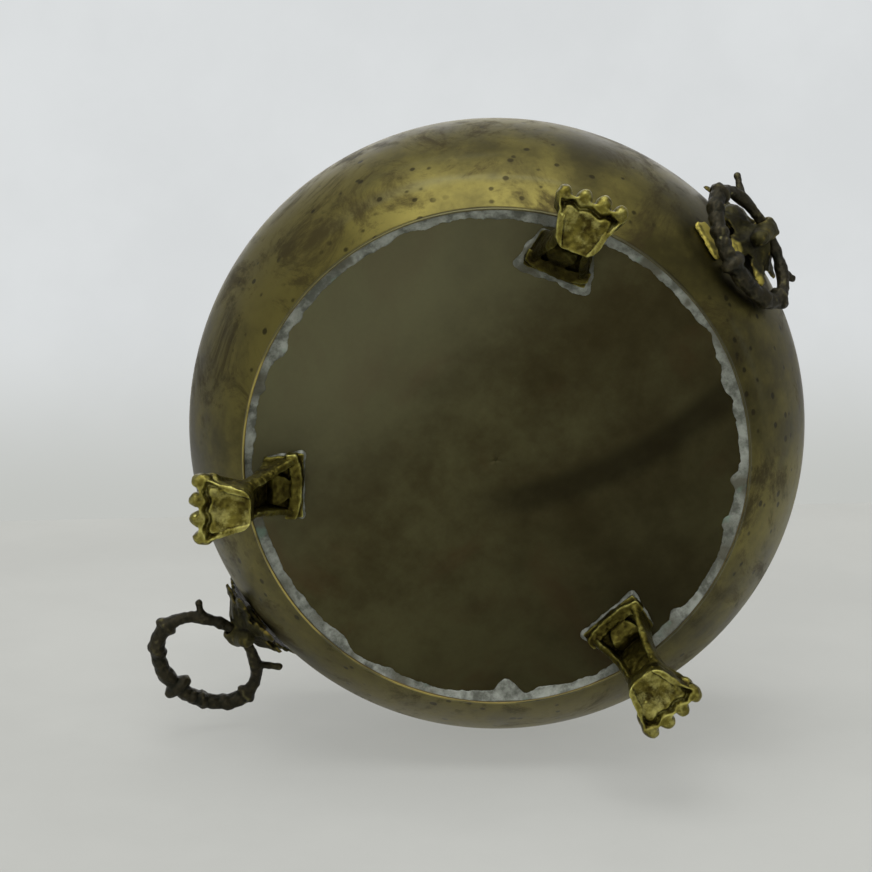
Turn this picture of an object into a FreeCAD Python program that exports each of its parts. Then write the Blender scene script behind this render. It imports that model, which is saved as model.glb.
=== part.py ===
import FreeCAD, Part
import math
import os

# Footed brass bowl (jardiniere) with three lion-paw feet and two loose ring handles.
# Millimetres, +Z up, floor at z = 0, bowl axis on Z, handles at +X and -X, one foot at -Y.

V = FreeCAD.Vector

# ---- driving dimensions -------------------------------------------------------------
WIDEST_R = 140.0            # outer radius at the widest level
SHEET = 1.1                 # thickness of the spun sheet
FOOT_H = 50.0               # floor to underside of the base disc
WIDEST_ABOVE_BASE = 72.0    # base disc to widest level
LOWER_ARC_R = 99.0          # profile radius below the widest level
UPPER_ARC_R = 50.0          # profile radius above it
MOUTH_R = 120.0             # outer radius where the wall meets the rolled rim
RIM_BEAD_R = 2.8            # half the thickness of the rolled rim
LIP_DEPTH = 2.4             # how far the turned-down lip stands below the disc
DISC_GAP = 0.25             # disc edge to lip
SOLDER_W = 4.6              # width of the solder fillet inside the lip
SOLDER_H = 1.7              # its depth against the lip

FOOT_AZIMUTHS = {"front": -88.0, "back_right": 31.5, "back_left": 145.2}
FOOT_YAWS = {"front": -5.0, "back_right": 7.5, "back_left": 5.1}

PAD_TO_SOLDER = 3.0         # foot's soldering pad to the solder seam
PAD_DEPTH = 17.0            # pad, in to out
PAD_W_IN = 27.5
PAD_W_OUT = 23.0
PAD_T = 3.0
SLAB_W = 5.3                # thick strip along the pad's inner edge
SLAB_T = 6.0
LUG_R = 6.5                 # stub of the casting gate, beside the strip
LUG_H = 9.5
FOOT_BEAD_W = 2.2           # solder bead round a pad
FOOT_BEAD_T = 1.3
CHANNEL_WALL = 2.6          # wall of the hollow leg
HEEL_W = 16.5
PAW_W = 28.0
HEEL_SET_OUT = 0.5          # heel beyond the pad's outer edge
SOLE_LENGTH = 21.5          # heel to the roots of the toes
TOE_COUNT = 4
TOE_R = 3.9
TOE_REACH = 4.2             # toe tips beyond their roots
KNUCKLE_R = 3.2
TENDON_R = 1.6              # ridge of each toe where it dies into the ankle
SOLE_RIM = 2.6              # flat rim round the sunk sole
SOLE_RECESS = 2.6
SOLE_GROOVE = 1.4           # groove between the rim and the sole's cushion
CUSHION_SHY = 0.6           # cushion short of the floor

MOUNT_BELOW_WIDEST = 20.0   # level of the handle fastener
EYE_STANDOFF = 12.6         # wall to hinge axis
EYE_OUTER_R = 5.4
EYE_HOLE_R = 3.1
EYE_LENGTH = 9.0
EYE_ROUND = 1.4
PLATE_GAP = 2.9             # plate stands off the wall on its central boss
PLATE_T = 2.6
DOME_R = 13.0               # dome where it leaves the plate
NECK_R = 4.2                # dome where it meets the eye
SWING_RELIEF_R = 4.7        # room cut round the hinge axis beside the eye
BOSS_R = 7.0
SEAT_GAP = 0.3
STUD_R = 2.4
STUD_FIT = 0.05
STUD_CLEARANCE = 0.4
STUD_INSIDE = 8.2
STUD_IN_BOSS = 5.2
SOCKET_SPARE = 0.4          # socket deeper than the stud
WASHER_R = 6.0
WASHER_T = 1.0
CUT_LENGTH = 60.0           # cutters that pass right through a mount or the wall
NUT_FLATS = 8.0
NUT_T = 4.0

RING_HALF_W = 26.3          # mean line, across the hinge
RING_HALF_H = 19.0          # mean line, along the drop
RING_SIDE_ARC_R = 15.0
TUBE_EYE_R = 2.35           # inside the eye
TUBE_SIDE_R = 2.9           # twig stub to side knot
TUBE_FAR_R = 3.5            # far half
STUB_OFFSET = 18.0          # stub root, sideways from the eye
STUB_LENGTHS = (5.6, 8.6)
STUB_R = 1.45
STUB_SPREAD = 54.6          # degrees, stub from the ring's middle line
STUB_ROOT_SWELL = 0.25
SIDE_KNOT_R = 4.6
SIDE_KNOT_L = 5.0
FAR_KNOT_R = 4.9
FAR_KNOT_L = 6.6
FAR_BUMP_R = 2.7
FAR_BUMP_OFFSET = 4.2
RING_HANG = 0.15            # ring's line off the hinge line, from the loose fit

# Each handle: azimuth of its mount, yaw and roll of the loose ring's axle line, and the
# swing at which the ring lies at rest (0 is straight out, 90 hangs down).
HANDLES = {
    "right": {"azimuth": 0.0, "yaw": -4.0, "roll": -18.0, "swing": 0.0},
    "left": {"azimuth": 180.0, "yaw": 8.0, "roll": 0.0, "swing": 122.2},
}

# ---- derived levels -----------------------------------------------------------------
WIDEST_Z = FOOT_H + WIDEST_ABOVE_BASE
LOWER_C_R = WIDEST_R - LOWER_ARC_R
UPPER_C_R = WIDEST_R - UPPER_ARC_R
BASE_R = LOWER_C_R + math.sqrt(LOWER_ARC_R ** 2 - WIDEST_ABOVE_BASE ** 2)
LIP_IN_R = BASE_R - SHEET
LIP_Z = FOOT_H - LIP_DEPTH
PAD_OUT_R = LIP_IN_R - SOLDER_W - PAD_TO_SOLDER
PAD_IN_R = PAD_OUT_R - PAD_DEPTH
HEEL_R = PAD_OUT_R + HEEL_SET_OUT
TOE_ROOT_R = HEEL_R + SOLE_LENGTH
MOUTH_Z = WIDEST_Z + math.sqrt(UPPER_ARC_R ** 2 - (MOUTH_R - UPPER_C_R) ** 2)
MOUNT_Z = WIDEST_Z - MOUNT_BELOW_WIDEST
MOUNT_WALL_R = LOWER_C_R + math.sqrt(LOWER_ARC_R ** 2 - MOUNT_BELOW_WIDEST ** 2)
MOUNT_TILT = math.degrees(math.asin(MOUNT_BELOW_WIDEST / LOWER_ARC_R))


# ---- helpers ------------------------------------------------------------------------
def export(shape, node):
    shape.exportStep(os.path.join("parts", node + ".step"))


def turned(shape, axis, degrees):
    moved = shape.copy()
    moved.rotate(V(0, 0, 0), axis, degrees)
    return moved


def shifted(shape, offset):
    moved = shape.copy()
    moved.translate(offset)
    return moved


def fuse_all(shapes):
    whole = shapes[0].multiFuse(shapes[1:]) if len(shapes) > 1 else shapes[0]
    return whole.removeSplitter()


def polygon_prism(points, direction):
    return Part.Face(Part.makePolygon(points + [points[0]])).extrude(direction)


def rounded_outline(corners, radius):
    """Closed wire through the corners of a convex outline, each corner rounded."""
    arcs = []
    for index, corner in enumerate(corners):
        back = (corners[index - 1] - corner).normalize()
        ahead = (corners[(index + 1) % len(corners)] - corner).normalize()
        middle = (back + ahead).normalize()
        half = back.getAngle(ahead) / 2.0
        run = radius / math.tan(half)
        crest = corner + middle * (radius / math.sin(half) - radius)
        arcs.append(Part.Arc(corner + back * run, crest, corner + ahead * run).toShape())
    edges = []
    for index, arc in enumerate(arcs):
        following = arcs[(index + 1) % len(arcs)]
        edges += [arc, Part.makeLine(arc.Vertexes[-1].Point, following.Vertexes[0].Point)]
    return Part.Wire(edges)


def trapezoid(z, r_in, width_in, r_out, width_out):
    """Corners of a section of the foot at height z, inner side first."""
    return [V(r_in, -width_in / 2.0, z), V(r_out, -width_out / 2.0, z),
            V(r_out, width_out / 2.0, z), V(r_in, width_in / 2.0, z)]


# ---- bowl ---------------------------------------------------------------------------
def profile_arc(centre_r, radius, start, end):
    """Arc of the wall profile about (centre_r, WIDEST_Z); angles from the outward direction."""
    def at(angle):
        a = math.radians(angle)
        return V(centre_r + radius * math.cos(a), 0, WIDEST_Z + radius * math.sin(a))
    return Part.Arc(at(start), at((start + end) / 2.0), at(end)).toShape()


def angle_at_r(centre_r, radius, r):
    return math.degrees(math.acos((r - centre_r) / radius))


def bowl_body():
    """Spun wall, turned-down lip and rolled rim, pierced for the two handle studs."""
    base_angle = -angle_at_r(LOWER_C_R, LOWER_ARC_R, BASE_R)
    inner_base_angle = -angle_at_r(LOWER_C_R, LOWER_ARC_R - SHEET, LIP_IN_R)
    mouth_angle = angle_at_r(UPPER_C_R, UPPER_ARC_R, MOUTH_R)
    outer_low = profile_arc(LOWER_C_R, LOWER_ARC_R, base_angle, 0)
    outer_up = profile_arc(UPPER_C_R, UPPER_ARC_R, 0, mouth_angle)
    inner_up = profile_arc(UPPER_C_R, UPPER_ARC_R - SHEET, mouth_angle, 0)
    inner_low = profile_arc(LOWER_C_R, LOWER_ARC_R - SHEET, 0, inner_base_angle)
    lip_out, lip_in = V(BASE_R, 0, LIP_Z), V(LIP_IN_R, 0, LIP_Z)
    edges = [
        Part.makeLine(lip_out, outer_low.Vertexes[0].Point),
        outer_low,
        outer_up,
        Part.makeLine(outer_up.Vertexes[-1].Point, inner_up.Vertexes[0].Point),
        inner_up,
        inner_low,
        Part.makeLine(inner_low.Vertexes[-1].Point, lip_in),
        Part.makeLine(lip_in, lip_out),
    ]
    wall = Part.Face(Part.Wire(edges)).revolve(V(0, 0, 0), V(0, 0, 1), 360)
    rim = Part.makeTorus(MOUTH_R - SHEET / 2.0, RIM_BEAD_R, V(0, 0, MOUTH_Z), V(0, 0, 1))
    body = wall.fuse(rim)
    for handle in HANDLES.values():
        body = body.cut(at_mount(stud_bore(STUD_CLEARANCE, 4 * SHEET), handle))
    return body.removeSplitter()


def stud_bore(clearance, end):
    """Cutter for a hole that the stud passes, from inside the bowl out to end."""
    start = end - CUT_LENGTH
    return Part.makeCylinder(STUD_R + clearance, CUT_LENGTH, V(start, 0, 0), V(1, 0, 0))


def base_disc():
    return Part.makeCylinder(LIP_IN_R - DISC_GAP, SHEET, V(0, 0, FOOT_H))


def base_solder_seam():
    """Solder fillet run round the corner between the disc and the lip."""
    corner = V(LIP_IN_R, 0, FOOT_H)
    toe = V(LIP_IN_R - SOLDER_W, 0, FOOT_H)
    heel = V(LIP_IN_R, 0, FOOT_H - SOLDER_H)
    belly = V(LIP_IN_R - 0.42 * SOLDER_W, 0, FOOT_H - 0.45 * SOLDER_H)
    section = Part.Wire([
        Part.makeLine(heel, corner),
        Part.makeLine(corner, toe),
        Part.Arc(toe, belly, heel).toShape(),
    ])
    return Part.Face(section).revolve(V(0, 0, 0), V(0, 0, 1), 360)


# ---- feet ---------------------------------------------------------------------------
LEG_DEPTH = 0.68 * PAD_DEPTH
ANKLE_OUT = PAD_OUT_R + 0.47 * PAD_DEPTH
LEG_SECTIONS = (
    # share of the foot's height, inner radius, inner width, outer radius, outer width, corner
    (0.98, PAD_OUT_R - LEG_DEPTH, 0.80 * PAD_W_OUT, PAD_OUT_R, 0.85 * PAD_W_OUT, 2.5),
    (0.76, PAD_OUT_R - 0.7 * LEG_DEPTH, 1.09 * HEEL_W, PAD_OUT_R + 0.2 * PAD_DEPTH, 1.06 * HEEL_W, 3.0),
    (0.50, ANKLE_OUT - LEG_DEPTH, HEEL_W, ANKLE_OUT, 1.03 * HEEL_W, 3.5),
    (0.30, HEEL_R - 1.0, HEEL_W, TOE_ROOT_R - 0.33 * SOLE_LENGTH, 0.75 * PAW_W, 4.0),
    (0.15, HEEL_R, HEEL_W, TOE_ROOT_R - 0.07 * SOLE_LENGTH, 0.93 * PAW_W, 4.5),
    (0.0, HEEL_R, HEEL_W, TOE_ROOT_R, PAW_W, 4.5),
)


def pad_outline(grow_in, grow_side, grow_out, thickness):
    """Trapezoid slab hung under the disc, its edges moved out from the pad's by the grow values."""
    def width(r):
        taper = (PAD_W_IN - PAD_W_OUT) / PAD_DEPTH
        return PAD_W_IN - taper * (r - PAD_IN_R) + 2 * grow_side
    r_in, r_out = PAD_IN_R - grow_in, PAD_OUT_R + grow_out
    return polygon_prism(trapezoid(FOOT_H, r_in, width(r_in), r_out, width(r_out)),
                         V(0, 0, -thickness))


def leg_loft(shrink, count, reach_in):
    """Loft through the leg's sections, made thinner by shrink and longer inward by reach_in."""
    wires = []
    for share, r_in, width_in, r_out, width_out, corner in LEG_SECTIONS[:count]:
        corners = trapezoid(share * FOOT_H, r_in - reach_in, width_in - 2 * shrink,
                            r_out - shrink, width_out - 2 * shrink)
        wires.append(rounded_outline(corners, max(corner - shrink, 0.4 * corner)))
    return Part.makeLoft(wires, True, True)


def leg_with_pad():
    """Pad, thick inner strip and leg, hollowed from the bowl's side, with the gate's stub."""
    strip = pad_outline(0, 0, PAD_IN_R + SLAB_W - PAD_OUT_R, SLAB_T)
    leg = fuse_all([leg_loft(0, len(LEG_SECTIONS), 0), pad_outline(0, 0, 0, PAD_T), strip])
    hollow = leg_loft(CHANNEL_WALL, 4, CHANNEL_WALL + SLAB_W)
    below_strip = Part.makeBox(PAD_DEPTH * 3, PAD_W_IN * 2, FOOT_H - SLAB_T,
                               V(PAD_IN_R, -PAD_W_IN, 0))
    lug = Part.makeCylinder(LUG_R, LUG_H, V(PAD_IN_R + SLAB_W + LUG_R, 0, FOOT_H - LUG_H))
    lug = lug.makeChamfer(0.2 * LUG_R, [lug.Edges[2]])
    return leg.cut(hollow.common(below_strip)).fuse(lug)


def taper(start, end, start_r, end_r):
    """Solid cone from one ball's centre to the next."""
    way = end - start
    return Part.makeCone(start_r, end_r, way.Length, start, way)


def toes():
    """Toes in a row along the paw's outer edge, each with a knuckle and a tendon up the leg."""
    parts = []
    pitch = (PAW_W - 1.7 * TOE_R) / (TOE_COUNT - 1)
    for index in range(TOE_COUNT):
        across = (index - (TOE_COUNT - 1) / 2.0) * pitch
        tip = TOE_ROOT_R + TOE_REACH - across ** 2 / (3 * PAW_W)
        toe = V(tip - TOE_R, across, 0.85 * TOE_R)
        knuckle = V(tip - 2.2 * TOE_R, 0.9 * across, 2.3 * TOE_R)
        tendon = V(ANKLE_OUT - TENDON_R, 0.45 * across, 0.5 * FOOT_H)
        parts += [Part.makeSphere(TOE_R, toe), taper(toe, knuckle, TOE_R, KNUCKLE_R),
                  Part.makeSphere(KNUCKLE_R, knuckle),
                  taper(knuckle, tendon, KNUCKLE_R, TENDON_R)]
    return parts


def inner_sole(inset):
    """Corners of the sole's outline moved in from the rim by inset."""
    return (HEEL_R + inset, HEEL_W - 1.2 * inset, TOE_ROOT_R - inset, PAW_W - 2.4 * inset)


def paw_foot(name):
    """Hollow-cast leg with a soldering pad above and a four-toed paw below."""
    body = fuse_all([leg_with_pad()] + toes())
    floor_cut = Part.makeBox(PAW_W * 2, PAW_W * 2, FOOT_H, V(PAD_IN_R, -PAW_W, -FOOT_H))
    corner = 0.6 * SOLE_RIM
    recess = Part.Face(rounded_outline(trapezoid(0, *inner_sole(SOLE_RIM)), corner))
    cushion = Part.makeLoft([
        rounded_outline(trapezoid(CUSHION_SHY, *inner_sole(SOLE_RIM + 1.6 * SOLE_GROOVE)), corner),
        rounded_outline(trapezoid(SOLE_RECESS + 1, *inner_sole(SOLE_RIM + SOLE_GROOVE)), corner),
    ], True, True)
    body = body.cut(floor_cut).cut(recess.extrude(V(0, 0, SOLE_RECESS))).fuse(cushion)
    return place_foot(body.removeSplitter(), name)


def place_foot(shape, name):
    pivot = V((PAD_IN_R + PAD_OUT_R) / 2.0, 0, 0)
    yawed = shape.copy()
    yawed.rotate(pivot, V(0, 0, 1), FOOT_YAWS[name])
    return turned(yawed, V(0, 0, 1), FOOT_AZIMUTHS[name])


def foot_solder(name):
    """Solder bead round three sides of a foot's pad, flat against the disc."""
    bead = pad_outline(FOOT_BEAD_W, FOOT_BEAD_W, 0, FOOT_BEAD_T)
    return place_foot(bead.cut(pad_outline(0, 0, 1, FOOT_BEAD_T)), name)


# ---- handle mounts ------------------------------------------------------------------
# Leaf outline about the fastener: (sideways, up) of lobe tips and of the notches between.
LEAF_POINTS = (
    (4.0, 34.0), (10.0, 24.0), (29.0, 29.0), (22.0, 14.0), (20.0, 6.0), (19.0, -3.0),
    (13.0, -8.0), (13.5, -21.0), (4.0, -15.5), (-6.0, -24.0), (-11.0, -12.0),
    (-18.5, -6.0), (-17.0, 6.0), (-25.0, 22.0), (-9.0, 21.0),
)


def at_mount(shape, handle):
    """From the mount's frame (x out along the wall's normal) to the bowl's frame."""
    tilted = turned(shape, V(0, 1, 0), MOUNT_TILT)
    return turned(shifted(tilted, V(MOUNT_WALL_R, 0, MOUNT_Z)), V(0, 0, 1), handle["azimuth"])


def axle_placement(handle):
    """Rotation of the ring's own frame (y along the axle) within the mount's level frame."""
    yaw = FreeCAD.Rotation(V(0, 0, 1), handle["yaw"])
    roll = FreeCAD.Rotation(V(1, 0, 0), handle["roll"])
    return yaw.multiply(roll)


def eye_centre():
    """Hinge centre, in a frame turned with the mount but not tilted."""
    tilt = math.radians(MOUNT_TILT)
    return V(MOUNT_WALL_R + EYE_STANDOFF * math.cos(tilt), 0,
             MOUNT_Z - EYE_STANDOFF * math.sin(tilt))


def at_eye(shape, handle, swing):
    """Put a shape drawn round its own y axis on a handle's hinge axis."""
    moved = turned(shape, V(0, 1, 0), swing)
    rotation = axle_placement(handle)
    moved.rotate(V(0, 0, 0), rotation.Axis, math.degrees(rotation.Angle))
    return turned(shifted(moved, eye_centre()), V(0, 0, 1), handle["azimuth"])


def wall_offset_band(low, high):
    """Part-revolved shell between two offsets from the bowl's outer wall, near azimuth 0."""
    reach = 40.0  # degrees, taller than the leaf
    outer = [profile_arc(LOWER_C_R, LOWER_ARC_R + high, -reach, 0),
             profile_arc(UPPER_C_R, UPPER_ARC_R + high, 0, reach)]
    inner = [profile_arc(UPPER_C_R, UPPER_ARC_R + low, reach, 0),
             profile_arc(LOWER_C_R, LOWER_ARC_R + low, 0, -reach)]
    loop = Part.Wire([
        *outer,
        Part.makeLine(outer[1].Vertexes[-1].Point, inner[0].Vertexes[0].Point),
        *inner,
        Part.makeLine(inner[1].Vertexes[-1].Point, outer[0].Vertexes[0].Point),
    ])
    half_sweep = 20.0  # degrees, wider than the leaf
    band = Part.Face(loop).revolve(V(0, 0, 0), V(0, 0, 1), 2 * half_sweep)
    return turned(band, V(0, 0, 1), -half_sweep)


def leaf_prism():
    curve = Part.BSplineCurve()
    curve.interpolate([V(0, s, h) for s, h in LEAF_POINTS], True)
    prism = Part.Face(Part.Wire([curve.toShape()])).extrude(V(CUT_LENGTH, 0, 0))
    return shifted(prism, V(MOUNT_WALL_R - CUT_LENGTH / 2, 0, MOUNT_Z))


def handle_mount(handle):
    """Cast leaf plate on a central boss, domed up to the eye that holds the ring."""
    plate = wall_offset_band(PLATE_GAP, PLATE_GAP + PLATE_T).common(leaf_prism())
    plate = turned(plate, V(0, 0, 1), handle["azimuth"])
    boss_h = PLATE_GAP + 0.4 * PLATE_T - SEAT_GAP
    boss = Part.makeCylinder(BOSS_R, boss_h, V(SEAT_GAP, 0, 0), V(1, 0, 0))
    dome_base = PLATE_GAP + 0.6 * PLATE_T
    dome = Part.makeCone(DOME_R, NECK_R, EYE_STANDOFF - dome_base, V(dome_base, 0, 0), V(1, 0, 0))
    eye = Part.makeCylinder(EYE_OUTER_R, EYE_LENGTH, V(0, -EYE_LENGTH / 2.0, 0), V(0, 1, 0))
    eye = eye.makeFillet(EYE_ROUND, eye.Edges[0:1] + eye.Edges[2:3])
    start = V(0, -CUT_LENGTH / 2, 0)
    relief = Part.makeCylinder(SWING_RELIEF_R, CUT_LENGTH, start, V(0, 1, 0))
    hole = Part.makeCylinder(EYE_HOLE_R, CUT_LENGTH, start, V(0, 1, 0))
    dome = at_mount(dome, handle).cut(at_eye(relief, handle, 0))
    body = fuse_all([plate, at_mount(boss, handle), dome, at_eye(eye, handle, 0)])
    socket = at_mount(stud_bore(STUD_FIT, STUD_IN_BOSS + SOCKET_SPARE), handle)
    return body.cut(at_eye(hole, handle, 0)).cut(socket)


def mount_stud(handle):
    stud = Part.makeCylinder(STUD_R, STUD_INSIDE + STUD_IN_BOSS, V(-STUD_INSIDE, 0, 0), V(1, 0, 0))
    return at_mount(stud, handle)


WASHER_FACE = -(SHEET + SEAT_GAP)


def mount_washer(handle):
    washer = Part.makeCylinder(WASHER_R, WASHER_T, V(WASHER_FACE - WASHER_T, 0, 0), V(1, 0, 0))
    return at_mount(washer.cut(stud_bore(STUD_CLEARANCE, 0)), handle)


def mount_nut(handle):
    start = WASHER_FACE - WASHER_T - NUT_T
    across_corners = NUT_FLATS / math.cos(math.radians(30))
    corners = [V(start, across_corners / 2 * math.cos(math.radians(60 * k)),
                 across_corners / 2 * math.sin(math.radians(60 * k))) for k in range(6)]
    hexagon = polygon_prism(corners, V(NUT_T, 0, 0))
    return at_mount(hexagon.cut(stud_bore(STUD_FIT, 0)), handle)


# ---- ring handles -------------------------------------------------------------------
def arc_tube(centre_x, centre_y, radius, start, end, tube_r):
    """Tube along a circular arc in the ring's plane; angles in degrees from +x."""
    a = math.radians(start)
    at = V(centre_x + radius * math.cos(a), centre_y + radius * math.sin(a), 0)
    circle = Part.Circle(at, V(-math.sin(a), math.cos(a), 0), tube_r).toShape()
    disc = Part.Face(Part.Wire([circle]))
    return disc.revolve(V(centre_x, centre_y, 0), V(0, 0, 1), end - start)


def ring_handle(handle):
    """Twig-like ring drawn flat, its axle line on y, then hung in the eye at its rest swing."""
    b, a, side = RING_HALF_H, RING_HALF_W, RING_SIDE_ARC_R
    end_r = (b ** 2 + (a - side) ** 2 - side ** 2) / (2 * (b - side))
    side_y = a - side
    bend = math.degrees(math.atan2(side_y, end_r - b))
    stub_angle = math.degrees(math.asin(STUB_OFFSET / end_r))
    far_x, near_x = -(end_r - b), end_r - b
    pieces = [arc_tube(near_x, 0, end_r, 180 - stub_angle, 180 + stub_angle, TUBE_EYE_R),
              arc_tube(far_x, 0, end_r, -bend, bend, TUBE_FAR_R)]
    for sign in (1, -1):
        def span(cx, cy, r, low, high, tube_r):
            low, high = (low, high) if sign > 0 else (-high, -low)
            return arc_tube(cx, sign * cy, r, low, high, tube_r)
        pieces += [
            span(near_x, 0, end_r, 180 - bend, 180 - stub_angle, TUBE_SIDE_R),
            span(0, side_y, side, 90, 180 - bend, TUBE_SIDE_R),
            span(0, side_y, side, bend, 90, TUBE_FAR_R),
        ]
        stub_l = STUB_LENGTHS[0] if sign > 0 else STUB_LENGTHS[1]
        root = V(near_x - end_r * math.cos(math.radians(stub_angle)), sign * STUB_OFFSET, 0)
        spread = math.radians(STUB_SPREAD)
        way = V(-math.cos(spread), sign * math.sin(spread), 0)
        pieces += [
            Part.makeSphere(TUBE_SIDE_R + STUB_ROOT_SWELL, root),
            Part.makeCylinder(STUB_R, TUBE_EYE_R + stub_l, root, way),
            Part.makeSphere(STUB_R, root + way * (TUBE_EYE_R + stub_l)),
            Part.makeCylinder(SIDE_KNOT_R, SIDE_KNOT_L, V(-SIDE_KNOT_L / 2, sign * a, 0),
                              V(1, 0, 0)),
        ]
    pieces += [Part.makeCylinder(FAR_KNOT_R, FAR_KNOT_L, V(b, -FAR_KNOT_L / 2, 0), V(0, 1, 0)),
               Part.makeSphere(FAR_BUMP_R, V(b - FAR_BUMP_OFFSET, 0, 0)),
               Part.makeSphere(FAR_BUMP_R, V(b + FAR_BUMP_OFFSET, 0, 0))]
    ring = shifted(fuse_all(pieces), V(b - RING_HANG, 0, 0))
    return at_eye(ring, handle, handle["swing"])


def main():
    os.makedirs("parts", exist_ok=True)
    export(bowl_body(), "bowl_body")
    export(base_disc(), "base_disc")
    export(base_solder_seam(), "base_solder_seam")
    for name in FOOT_AZIMUTHS:
        export(paw_foot(name), "paw_foot_" + name)
        export(foot_solder(name), "foot_solder_" + name)
    for side, handle in HANDLES.items():
        export(handle_mount(handle), "handle_mount_" + side)
        export(mount_stud(handle), "mount_stud_" + side)
        export(mount_washer(handle), "mount_washer_" + side)
        export(mount_nut(handle), "mount_nut_" + side)
        export(ring_handle(handle), "ring_handle_" + side)


main()
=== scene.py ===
import math

import bpy
import numpy as np
from mathutils import Matrix, Vector, noise


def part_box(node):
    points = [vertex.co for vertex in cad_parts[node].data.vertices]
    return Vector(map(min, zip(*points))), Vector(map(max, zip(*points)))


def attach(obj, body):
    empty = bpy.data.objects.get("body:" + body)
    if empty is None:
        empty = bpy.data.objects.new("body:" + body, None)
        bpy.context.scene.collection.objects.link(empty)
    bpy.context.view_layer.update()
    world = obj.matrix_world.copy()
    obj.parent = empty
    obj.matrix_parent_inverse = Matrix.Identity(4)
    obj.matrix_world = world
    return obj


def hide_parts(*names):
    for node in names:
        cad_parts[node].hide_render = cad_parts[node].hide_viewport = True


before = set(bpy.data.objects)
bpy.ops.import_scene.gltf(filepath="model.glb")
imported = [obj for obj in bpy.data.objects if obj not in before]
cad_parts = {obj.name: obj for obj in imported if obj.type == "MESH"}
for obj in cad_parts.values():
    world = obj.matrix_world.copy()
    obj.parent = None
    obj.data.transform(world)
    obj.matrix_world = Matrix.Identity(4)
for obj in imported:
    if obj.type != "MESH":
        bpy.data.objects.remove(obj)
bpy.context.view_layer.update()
noise.seed_set(7)  # the castings' roughness comes out the same every time

# ---- sizes, in millimetres, from the frame or as the bowl is built --------------------
MM = 0.001


def node_box(node):
    """Lowest and highest corner of a piece, in millimetres."""
    low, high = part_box(node)
    return np.array(low) / MM, np.array(high) / MM


WIDEST_R = node_box("bowl_body")[1][0]
LIP_Z = node_box("bowl_body")[0][2]
DISC_R = node_box("base_disc")[1][0]
DISC_Z, DISC_TOP_Z = node_box("base_disc")[0][2], node_box("base_disc")[1][2]
SHEET = DISC_TOP_Z - DISC_Z
LIP_IN_R = DISC_R + 0.25
WIDEST_Z = DISC_Z + 72.0
LOWER_ARC_R, UPPER_ARC_R = 99.0, 50.0
LOWER_C_R, UPPER_C_R = WIDEST_R - LOWER_ARC_R, WIDEST_R - UPPER_ARC_R
RIM_BEAD_R = 2.8
MOUTH_R = 120.0
MOUNT_BELOW_WIDEST = 20.0
MOUNT_Z = WIDEST_Z - MOUNT_BELOW_WIDEST
MOUNT_WALL_R = LOWER_C_R + math.sqrt(LOWER_ARC_R ** 2 - MOUNT_BELOW_WIDEST ** 2)
MOUNT_TILT = math.asin(MOUNT_BELOW_WIDEST / LOWER_ARC_R)

FOOT_AZIMUTHS = {"front": -88.0, "back_right": 31.5, "back_left": 145.2}
FOOT_YAWS = {"front": -5.0, "back_right": 7.5, "back_left": 5.1}
PAD_IN_R, PAD_OUT_R = 83.25, 100.25
PAD_HALF_IN, PAD_HALF_OUT = 14.2, 11.8
FOOT_PIVOT_R = (PAD_IN_R + PAD_OUT_R) / 2.0

RING_REST = {"right": {"azimuth": 0.0, "yaw": -4.0, "roll": -18.0, "swing": 0.0},
             "left": {"azimuth": 180.0, "yaw": 8.0, "roll": 0.0, "swing": 122.2}}
EYE_R, EYE_HOLE_R, EYE_HALF_L = 5.4, 3.1, 4.5
AXLE_OUT = 12.6
SWING_ROOM_R = 4.7
PLATE_GAP = 2.9


# ---- meshes ---------------------------------------------------------------------------
def piece(name, points_mm, faces, body, stands_for=(), finishes=(), face_finish=None):
    """A smooth-shaded mesh that rides a body, made from points in millimetres."""
    mesh = bpy.data.meshes.new(name)
    mesh.from_pydata((np.asarray(points_mm) * MM).tolist(), [], [list(f) for f in faces])
    mesh.update()
    mesh.shade_smooth()
    shape = bpy.data.objects.new(name, mesh)
    bpy.context.scene.collection.objects.link(shape)
    for finish in finishes:
        mesh.materials.append(finish)
    if face_finish is not None:
        mesh.polygons.foreach_set("material_index", face_finish)
    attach(shape, body)
    if stands_for:
        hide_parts(*stands_for)
    return shape


def lathe(profile, steps, wobble=None):
    """Points and quads of a closed profile of (radius, height) swept round the bowl's axis."""
    profile = np.asarray(profile, float)
    angles = np.arange(steps) * 2 * math.pi / steps
    r = np.broadcast_to(profile[:, 0], (steps, len(profile))).copy()
    z = np.broadcast_to(profile[:, 1], (steps, len(profile))).copy()
    if wobble is not None:
        r, z = wobble(angles[:, None], r, z)
    x, y = r * np.cos(angles)[:, None], r * np.sin(angles)[:, None]
    points = np.stack([x, y, z], -1).reshape(-1, 3)
    i, j = np.meshgrid(np.arange(steps), np.arange(len(profile)), indexing="ij")
    count = len(profile)
    i2, j2 = (i + 1) % steps, (j + 1) % count
    quads = np.stack([i * count + j, i2 * count + j, i2 * count + j2, i * count + j2], -1)
    return points, quads.reshape(-1, 4)


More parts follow.
